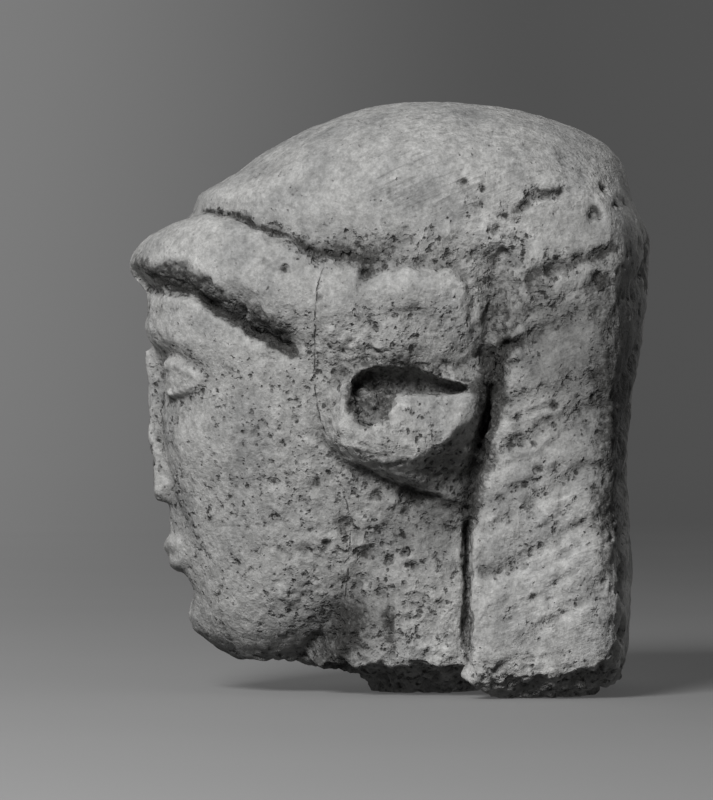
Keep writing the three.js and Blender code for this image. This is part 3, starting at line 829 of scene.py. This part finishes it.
# Broad patches of both sides that are painted lighter (over 0) or darker (under 0) than the rest,
# partly as cleaner and grimier stone and partly as painted light and shade, as on the hair's
# turn to the back and under the ear's lobe: middle and reach in (y, z), and amount
LIGHT_AND_GRIME_WASHES = (
    ((70, 58), (28, 34), 0.75),
    ((72, 22), (28, 18), 0.45),
    ((80, 160), (30, 24), -0.9),
    ((86, 120), (18, 26), -0.5),
    ((15, 22), (18, 13), 0.7),
    ((20, 79), (16, 14), -0.9),
    ((-14, 33), (16, 15), -0.9),
    ((30, 172), (9, 12), 0.5),
    ((-18, 160), (13, 11), 0.5),
    ((50, 205), (12, 10), 0.6),
    ((90, 236), (20, 12), 0.4),
    ((106, 226), (12, 22), 0.4),
    ((88, 211), (9, 10), -0.5),
    ((102, 140), (8, 40), -0.6),
    ((97, 74), (6, 18), -0.4),
    ((107, 45), (10, 34), 0.5),
)


def cleanness_and_painted_light(points):
    """How much lighter each point is painted than the stone at large, or darker where under 0:
    partly cleaner and grimier stone, partly painted light and shade.
    """
    total = np.zeros(len(points))
    for middle, reach, amount in LIGHT_AND_GRIME_WASHES:
        total += amount * patch(points, middle, reach)
    uneven = 1 + 0.3 * layered_noise(points, 16, 83)
    return total * uneven * smoothstep(np.abs(points[:, 0]), 20, 40)


# Materials
class Tree:
    """Short ways to add and join the nodes of a material."""

    def __init__(self, name):
        self.material = bpy.data.materials.new(name)
        self.material.use_nodes = True
        self.nodes = self.material.node_tree.nodes
        self.links = self.material.node_tree.links
        self.shader = self.nodes["Principled BSDF"]

    def join(self, value, socket):
        """Links a socket to another node's output, or sets it to a number or a colour."""
        if isinstance(value, bpy.types.NodeSocket):
            self.links.new(value, socket)
        else:
            socket.default_value = value

    def math(self, operation, a, b=0.0, clamp=False):
        node = self.nodes.new("ShaderNodeMath")
        node.operation = operation
        node.use_clamp = clamp
        self.join(a, node.inputs[0])
        self.join(b, node.inputs[1])
        return node.outputs[0]

    def times(self, a, b, clamp=False):
        return self.math("MULTIPLY", a, b, clamp)

    def plus(self, a, b):
        return self.math("ADD", a, b)

    def minus(self, a, b):
        return self.math("SUBTRACT", a, b)

    def ramp(self, value, low, high, to_low=0.0, to_high=1.0, smooth=True):
        """Turns low to high into to_low to to_high, and holds values beyond them."""
        node = self.nodes.new("ShaderNodeMapRange")
        node.interpolation_type = "SMOOTHSTEP" if smooth else "LINEAR"
        for socket, v in zip(node.inputs, (value, low, high, to_low, to_high)):
            self.join(v, socket)
        return node.outputs[0]

    def blend(self, share, a, b, kind="MIX"):
        """Colour a mixed with or multiplied by colour b, which are the node's inputs 6 and 7."""
        node = self.nodes.new("ShaderNodeMix")
        node.data_type = "RGBA"
        node.blend_type = kind
        self.join(share, node.inputs[0])
        for colour, socket in ((a, node.inputs[6]), (b, node.inputs[7])):
            self.join((*colour, 1) if isinstance(colour, tuple) else colour, socket)
        return node.outputs[2]

    def attribute(self, name):
        node = self.nodes.new("ShaderNodeAttribute")
        node.attribute_name = name
        return node.outputs["Fac"]

    def place(self, turn=(0, 0, 0), stretch=(1, 1, 1)):
        """The piece's own coordinates in millimetres, turned and then stretched."""
        spot = self.nodes.new("ShaderNodeTexCoord")
        mapping = self.nodes.new("ShaderNodeMapping")
        mapping.vector_type = "TEXTURE"
        self.links.new(spot.outputs["Object"], mapping.inputs["Vector"])
        mapping.inputs["Rotation"].default_value = [math.radians(t) for t in turn]
        mapping.inputs["Scale"].default_value = [s * MM for s in stretch]
        return mapping.outputs[0]

    def noise(self, place, size, detail=2.0, roughness=0.5, output="Fac"):
        node = self.nodes.new("ShaderNodeTexNoise")
        self.join(place, node.inputs["Vector"])
        node.inputs["Scale"].default_value = 1 / size
        node.inputs["Detail"].default_value = detail
        node.inputs["Roughness"].default_value = roughness
        return node.outputs[output]

    def cells(self, place, size):
        """Distance from the nearest scattered point, in cells, and a random number for it."""
        node = self.nodes.new("ShaderNodeTexVoronoi")
        self.join(place, node.inputs["Vector"])
        node.inputs["Scale"].default_value = 1 / size
        split = self.nodes.new("ShaderNodeSeparateColor")
        self.links.new(node.outputs["Color"], split.inputs[0])
        return node.outputs["Distance"], split.outputs


def wobbled(tree, place, size, reach):
    """Coordinates shaken by noise, so that round cells turn irregular."""
    centre = tree.nodes.new("ShaderNodeVectorMath")
    centre.operation = "MULTIPLY_ADD"
    tree.join(tree.noise(place, size, 1, output="Color"), centre.inputs[0])
    centre.inputs[1].default_value = (2 * reach,) * 3
    centre.inputs[2].default_value = (-reach,) * 3
    shift = tree.nodes.new("ShaderNodeVectorMath")
    shift.operation = "ADD"
    tree.join(place, shift.inputs[0])
    tree.links.new(centre.outputs[0], shift.inputs[1])
    return shift.outputs[0]


def pits(tree, place, cell, smallest, largest, density):
    """Mask of holes: one in a cell where its random number is below the density, or near it."""
    distance, (size_draw, here_draw, _) = tree.cells(place, cell)
    radius = tree.ramp(size_draw, 0, 1, smallest / cell, largest / cell, smooth=False)
    inner = tree.times(radius, 0.1)
    depth = tree.ramp(distance, inner, radius, 1.0, 0.0)
    here = tree.ramp(tree.minus(density, here_draw), 0, 0.2)
    return tree.times(depth, here)


# Cracks down the left side, as (y, z)
LONG_CRACK = [(-30, 193), (-33.4, 179), (-34.3, 156), (-33.4, 133), (-31.5, 124), (-26.5, 115)]
FAINT_CRACK = [(-23.2, 97), (-18.6, 78), (-19, 60), (-20.9, 41)]
CRACK_WIDTH = 0.45


def crack_mask(tree, place, stations):
    """Mask of a thin crack down the left side, through stations of (y, z) from its top."""
    split = tree.nodes.new("ShaderNodeSeparateXYZ")
    tree.join(place, split.inputs[0])
    x, y, z = split.outputs
    ys, zs = zip(*stations)
    front, back = min(ys) - 5, max(ys) + 5
    top, bottom = zs[0], zs[-1]
    heights = [(height - bottom) / (top - bottom) for height in zs]
    depths = [(depth - front) / (back - front) for depth in ys]
    spots = sorted(zip(heights, depths))
    line = tree.nodes.new("ShaderNodeFloatCurve")
    points = line.mapping.curves[0].points
    points[0].location = spots[0]
    points[1].location = spots[-1]
    for spot in spots[1:-1]:
        points.new(*spot)
    line.mapping.update()
    tree.join(tree.ramp(z, bottom, top, smooth=False), line.inputs["Value"])
    middle = tree.ramp(line.outputs[0], 0, 1, front, back, smooth=False)
    shake = tree.times(tree.minus(tree.noise(place, 3.5, 2), 0.5), 2.4)
    away = tree.math("ABSOLUTE", tree.plus(tree.minus(y, middle), shake))
    mask = tree.ramp(away, 0.35 * CRACK_WIDTH, CRACK_WIDTH, 1.0, 0.0)
    mask = tree.times(mask, tree.ramp(x, 30, 45))
    mask = tree.times(mask, tree.ramp(z, bottom - 1, bottom + 5))
    return tree.times(mask, tree.ramp(z, top + 1, top - 5))


def crack_masks(tree, layers):
    """The long crack before the left ear, broken here and there, and the faint one below it."""
    broken = tree.ramp(tree.noise(layers.place, 5, 3, 0.6), 0.40, 0.52, 0.35, 1.0)
    crack = tree.times(crack_mask(tree, layers.place, LONG_CRACK), broken)
    shown = tree.ramp(layers.cloud, 0.45, 0.55)
    faint = tree.times(crack_mask(tree, layers.place, FAINT_CRACK), shown)
    return tree.math("MAXIMUM", crack, faint)


def stone_layers(tree):
    """The patterns, from broad to fine, and the points' attributes that the limestone reads."""
    place = tree.place()
    return SimpleNamespace(
        place=place,
        patches=tree.noise(place, 26, 4, 0.6),
        cloud=tree.noise(place, 7, 5, 0.68),
        lumps=tree.noise(place, 5.5, 2, 0.5),
        crumbs=tree.noise(place, 2.6, 4, 0.66),
        sand=tree.noise(place, 1.1, 3, 0.7),
        streaks=tree.noise(tree.place((24, 0, 0), (1, 14, 1)), 2.0, 2, 0.6),
        **{name: tree.attribute(name) for name in ("hollow", "grain", "stain", "clean", "combed")},
    )


def hole_masks(tree, layers):
    """Holes where grains and shells have fallen out, more in coarse stone, and eaten blotches."""
    place = layers.place
    clusters = tree.ramp(tree.noise(place, 13, 3, 0.6), 0.36, 0.64, 0.3, 1.7)
    # Fewer holes where the clean attribute paints the stone lighter, which is partly painted light
    rubbed = tree.ramp(layers.clean, 0.1, 1.1, 1.0, 0.45)
    coarse = tree.times(layers.grain, tree.times(clusters, rubbed), clamp=True)
    often = tree.ramp(coarse, 0, 1, 0.14, 0.85, smooth=False)
    seldom = tree.ramp(coarse, 0, 1, 0.06, 0.60, smooth=False)
    small = pits(tree, wobbled(tree, place, 0.9, 0.4), 2.4, 0.35, 0.9, often)
    large = pits(tree, wobbled(tree, place, 2.0, 1.3), 4.8, 0.7, 1.6, seldom)
    large = tree.times(large, tree.ramp(layers.crumbs, 0.36, 0.56, 0.15, 1.0))
    level = tree.ramp(coarse, 0, 0.6, 0.66, 0.49, smooth=False)
    blotch = tree.noise(place, 3.2, 2, 0.55)
    eaten = tree.ramp(blotch, level, tree.plus(level, 0.20))
    eaten = tree.times(eaten, tree.ramp(layers.crumbs, 0.34, 0.56, 0.5, 1.1))
    return tree.math("MAXIMUM", small, large), eaten


def stone_tone(tree, layers):
    """A grey that makes the stone brighter or darker with each layer."""
    tone = 1.0
    for layer, low, high, to_low, to_high in (
        (layers.sand, 0.25, 0.75, 0.80, 1.16),
        (layers.crumbs, 0.3, 0.7, 0.74, 1.24),
        (layers.cloud, 0.3, 0.7, 0.78, 1.22),
        # Hollows are painted darker: painted shade
        (layers.hollow, 0.25, 0.75, 1.06, 0.70),
        (layers.grain, 0.2, 1.0, 1.04, 0.92),
        # Broad washes from the clean attribute: partly cleaner and grimier stone, partly painted
        # light and shade
        (layers.clean, -1, 1, 0.5, 1.5),
    ):
        tone = tree.times(tone, tree.ramp(layer, low, high, to_low, to_high, smooth=False))
    tone = tree.math("MINIMUM", tone, 1.55)
    grey = tree.nodes.new("ShaderNodeCombineColor")
    for channel in range(3):
        tree.join(tone, grey.inputs[channel])
    return grey.outputs[0]


def dirt_and_shade_cover(tree, layers):
    """How much of the dark colour covers the stone: old dirt and painted shade in holes and
    hollows and where they are painted on the points, and marks in lines.
    """
    uneven = tree.times(tree.minus(layers.crumbs, 0.5), 1.6)
    hollow_dirt_and_shade = tree.ramp(tree.plus(layers.hollow, uneven), 0.64, 1.2)
    stain_and_shade_share = tree.plus(layers.stain, tree.times(uneven, 1.4))
    stain_and_shade_share = tree.ramp(stain_and_shade_share, 0.25, 0.95)
    stain_and_shade_share = tree.times(stain_and_shade_share, tree.ramp(layers.crumbs, 0.38, 0.62, 1.1, 0.88))
    scratches = tree.times(tree.ramp(layers.streaks, 0.56, 0.70), layers.combed)
    dirt_and_shade = 0.0
    for mask, most in (
        # Holes: old dirt and painted shade in the pits
        (layers.holes, tree.ramp(layers.grain, 0.1, 0.8, 0.55, 0.85, smooth=False)),
        (layers.eaten, 0.85),
        # Hollows: old dirt and painted shade
        (hollow_dirt_and_shade, 0.85),
        (stain_and_shade_share, 0.93),
        (scratches, 0.3),
        (layers.cracked, 0.65),
    ):
        dirt_and_shade = tree.math("MAXIMUM", dirt_and_shade, tree.times(mask, most))
    return dirt_and_shade


def stone_relief(tree, layers):
    """The finest relief, stronger where the grain is coarse, with the holes sunk into it."""
    height = tree.times(tree.minus(layers.streaks, 0.5), layers.combed)
    for layer, on_smooth, on_rough in (
        (layers.lumps, 1.2, 3.6),
        (layers.crumbs, 0.8, 1.9),
        (layers.sand, 0.4, 0.7),
    ):
        strength = tree.ramp(layers.grain, 0, 1, on_smooth, on_rough, smooth=False)
        height = tree.plus(height, tree.times(tree.minus(layer, 0.5), strength))
    for mask, depth in ((layers.holes, 0.9), (layers.eaten, 1.1), (layers.cracked, 1.0)):
        height = tree.minus(height, tree.times(mask, depth))
    bump = tree.nodes.new("ShaderNodeBump")
    bump.inputs["Distance"].default_value = RELIEF * MM
    tree.links.new(height, bump.inputs["Height"])
    return bump.outputs[0]


def limestone(settings):
    """Clean and mottled stone, full of small holes, with old dirt and painted shade in all that is
    hollow, and broad washes of painted light and shade.
    """
    tree = Tree("limestone")
    layers = stone_layers(tree)
    layers.holes, layers.eaten = hole_masks(tree, layers)
    layers.cracked = crack_masks(tree, layers)
    mottled = tree.ramp(layers.patches, 0.42, 0.70)
    colour = tree.blend(mottled, tuple(settings.pale), tuple(settings.dusty))
    colour = tree.blend(1.0, colour, stone_tone(tree, layers), "MULTIPLY")
    colour = tree.blend(dirt_and_shade_cover(tree, layers), colour, tuple(settings.dirt_and_shade))
    tree.links.new(colour, tree.shader.inputs["Base Color"])
    tree.links.new(stone_relief(tree, layers), tree.shader.inputs["Normal"])
    tree.shader.inputs["Roughness"].default_value = 0.95
    tree.shader.inputs["Specular IOR Level"].default_value = 0.2
    return tree.material


class STONE_HEAD_OT_carve(bpy.types.Operator):
    """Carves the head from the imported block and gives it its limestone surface"""

    bl_idname = "stone_head.carve"
    bl_label = "Carve the head"

    def execute(self, context):
        settings = context.scene.stone_head
        draw = np.random.default_rng(SEED)
        shape = rough_out(settings)
        piece = shape.piece
        carve_strands(shape)
        carve_seams(shape)
        carve_ears(shape)
        chip_roll(shape)
        weather(shape, settings.roughness_height / MM)
        chip_edges(shape, draw)
        pick_holes(shape, draw)
        low = np.array(CAD_BOUNDS[0]) / MM
        high = np.array(CAD_BOUNDS[1]) / MM
        shape.points = np.clip(shape.points, low, high)
        shape.refresh()
        thin = piece.modifiers.new("thin", "DECIMATE")
        thin.ratio = settings.triangles / sum(len(f.vertices) - 2 for f in piece.data.polygons)
        bpy.ops.object.modifier_apply(modifier=thin.name)
        piece.data.shade_smooth()
        write_attributes(Shape(piece))
        piece.data.materials.append(limestone(settings))
        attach(piece, "root")
        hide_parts(NODE)
        return {"FINISHED"}


# The studio: a round of pale paper that turns up into a backdrop, two lamps and the camera
def paper_round():
    """The paper's profile, from the middle of the floor up to its edge, spun round the head."""
    bpy.ops.object.select_all(action="DESELECT")
    bpy.ops.mesh.primitive_plane_add(size=1)
    floor = bpy.context.active_object
    floor.name = "floor"
    profile = [(0.0, 0.0)]
    for turn in np.linspace(0, math.pi / 2, 24):
        out = PAPER_RADIUS + PAPER_TURN * math.sin(turn)
        profile.append((out, PAPER_TURN - PAPER_TURN * math.cos(turn)))
    profile.append((PAPER_RADIUS + PAPER_TURN, PAPER_TOP))
    paper = bmesh.new()
    line = [paper.verts.new((out, 0, up)) for out, up in profile]
    edges = [paper.edges.new(pair) for pair in zip(line, line[1:])]
    bmesh.ops.spin(
        paper, geom=line + edges, cent=(0, 0, 0), axis=(0, 0, 1), angle=2 * math.pi, steps=96
    )
    bmesh.ops.remove_doubles(paper, verts=paper.verts, dist=1e-5)
    paper.to_mesh(floor.data)
    paper.free()
    floor.data.shade_smooth()
    return floor


def pale_paper(settings):
    """Matt paper with a faint light of its own, stronger on the side that the face looks to."""
    tree = Tree("pale_paper")
    tone = tree.ramp(tree.noise(tree.place(), 400, 2), 0.3, 0.7)
    darker = tuple(c * 0.95 for c in settings.floor)
    colour = tree.blend(tone, tuple(settings.floor), darker)
    tree.links.new(colour, tree.shader.inputs["Base Color"])
    tree.shader.inputs["Roughness"].default_value = 0.9
    tree.shader.inputs["Emission Color"].default_value = (1, 1, 1, 1)
    in_metres = tree.place(stretch=(1000, 1000, 1000))
    spot = tree.nodes.new("ShaderNodeSeparateXYZ")
    tree.links.new(in_metres, spot.inputs[0])
    glow = tree.ramp(spot.outputs[1], -0.6, 0.25, 2.4 * settings.glow, 0.6 * settings.glow)
    tree.links.new(glow, tree.shader.inputs["Emission Strength"])
    return tree.material


def hang_lamp(name, power, size, towards):
    """A soft round lamp that shines at the head from one direction."""
    light = bpy.data.lights.new(name, "AREA")
    light.shape = "DISK"
    light.size = size
    light.energy = power
    lamp = bpy.data.objects.new(name, light)
    towards = Vector(towards).normalized()
    lamp.location = AIM + towards * LAMP_DISTANCE
    lamp.rotation_euler = towards.to_track_quat("Z", "Y").to_euler()
    bpy.context.collection.objects.link(lamp)
    return lamp


def set_camera(settings):
    """A level camera on the figure's left, far enough away to see the head without distortion."""
    lens = bpy.data.cameras.new("camera")
    lens.lens = lens.sensor_width * settings.distance / settings.view_height
    camera = bpy.data.objects.new("camera", lens)
    camera.location = AIM + Vector((settings.distance, 0, 0))
    camera.rotation_euler = (math.pi / 2, 0, math.pi / 2)
    bpy.context.collection.objects.link(camera)
    bpy.context.scene.camera = camera


class STONE_HEAD_OT_studio(bpy.types.Operator):
    """Sets the pale floor, the lamps and the camera"""

    bl_idname = "stone_head.studio"
    bl_label = "Set up the studio"

    def execute(self, context):
        settings = context.scene.stone_studio
        floor = paper_round()
        floor.data.materials.append(pale_paper(settings))
        floor.visible_diffuse = False

        hang_lamp("key", settings.key, 0.85, (0.77, -0.35, 0.53))
        back = hang_lamp("back", settings.back, 1.2, (-0.85, 0.4, 0.4))
        lit_from_behind = bpy.data.collections.new("lit_from_behind")
        lit_from_behind.objects.link(bpy.data.objects["carved_stone"])
        back.light_linking.receiver_collection = lit_from_behind

        world = bpy.data.worlds.new("studio")
        world.use_nodes = True
        background = world.node_tree.nodes["Background"]
        background.inputs["Color"].default_value = (1, 1, 1, 1)
        background.inputs["Strength"].default_value = settings.fill
        context.scene.world = world

        set_camera(settings)
        context.scene.view_settings.view_transform = "Standard"
        return {"FINISHED"}


class STONE_HEAD_PT_panel(bpy.types.Panel):
    """The settings of the stone and of the studio, each with its button"""

    bl_label = "Stone head"
    bl_space_type = "VIEW_3D"
    bl_region_type = "UI"
    bl_category = "Stone head"

    def draw(self, context):
        layout = self.layout
        for settings, operator in (
            (context.scene.stone_head, STONE_HEAD_OT_carve),
            (context.scene.stone_studio, STONE_HEAD_OT_studio),
        ):
            for name in settings.__annotations__:
                layout.prop(settings, name)
            layout.operator(operator.bl_idname)


CLASSES = (
    StoneSettings,
    StudioSettings,
    STONE_HEAD_OT_carve,
    STONE_HEAD_OT_studio,
    STONE_HEAD_PT_panel,
)


def register():
    for cls in CLASSES:
        bpy.utils.register_class(cls)
    bpy.types.Scene.stone_head = PointerProperty(type=StoneSettings)
    bpy.types.Scene.stone_studio = PointerProperty(type=StudioSettings)


def unregister():
    del bpy.types.Scene.stone_studio
    del bpy.types.Scene.stone_head
    for cls in reversed(CLASSES):
        bpy.utils.unregister_class(cls)


def main():
    register()
    bpy.ops.stone_head.carve()
    bpy.ops.stone_head.studio()


if __name__ == "__main__":
    main()
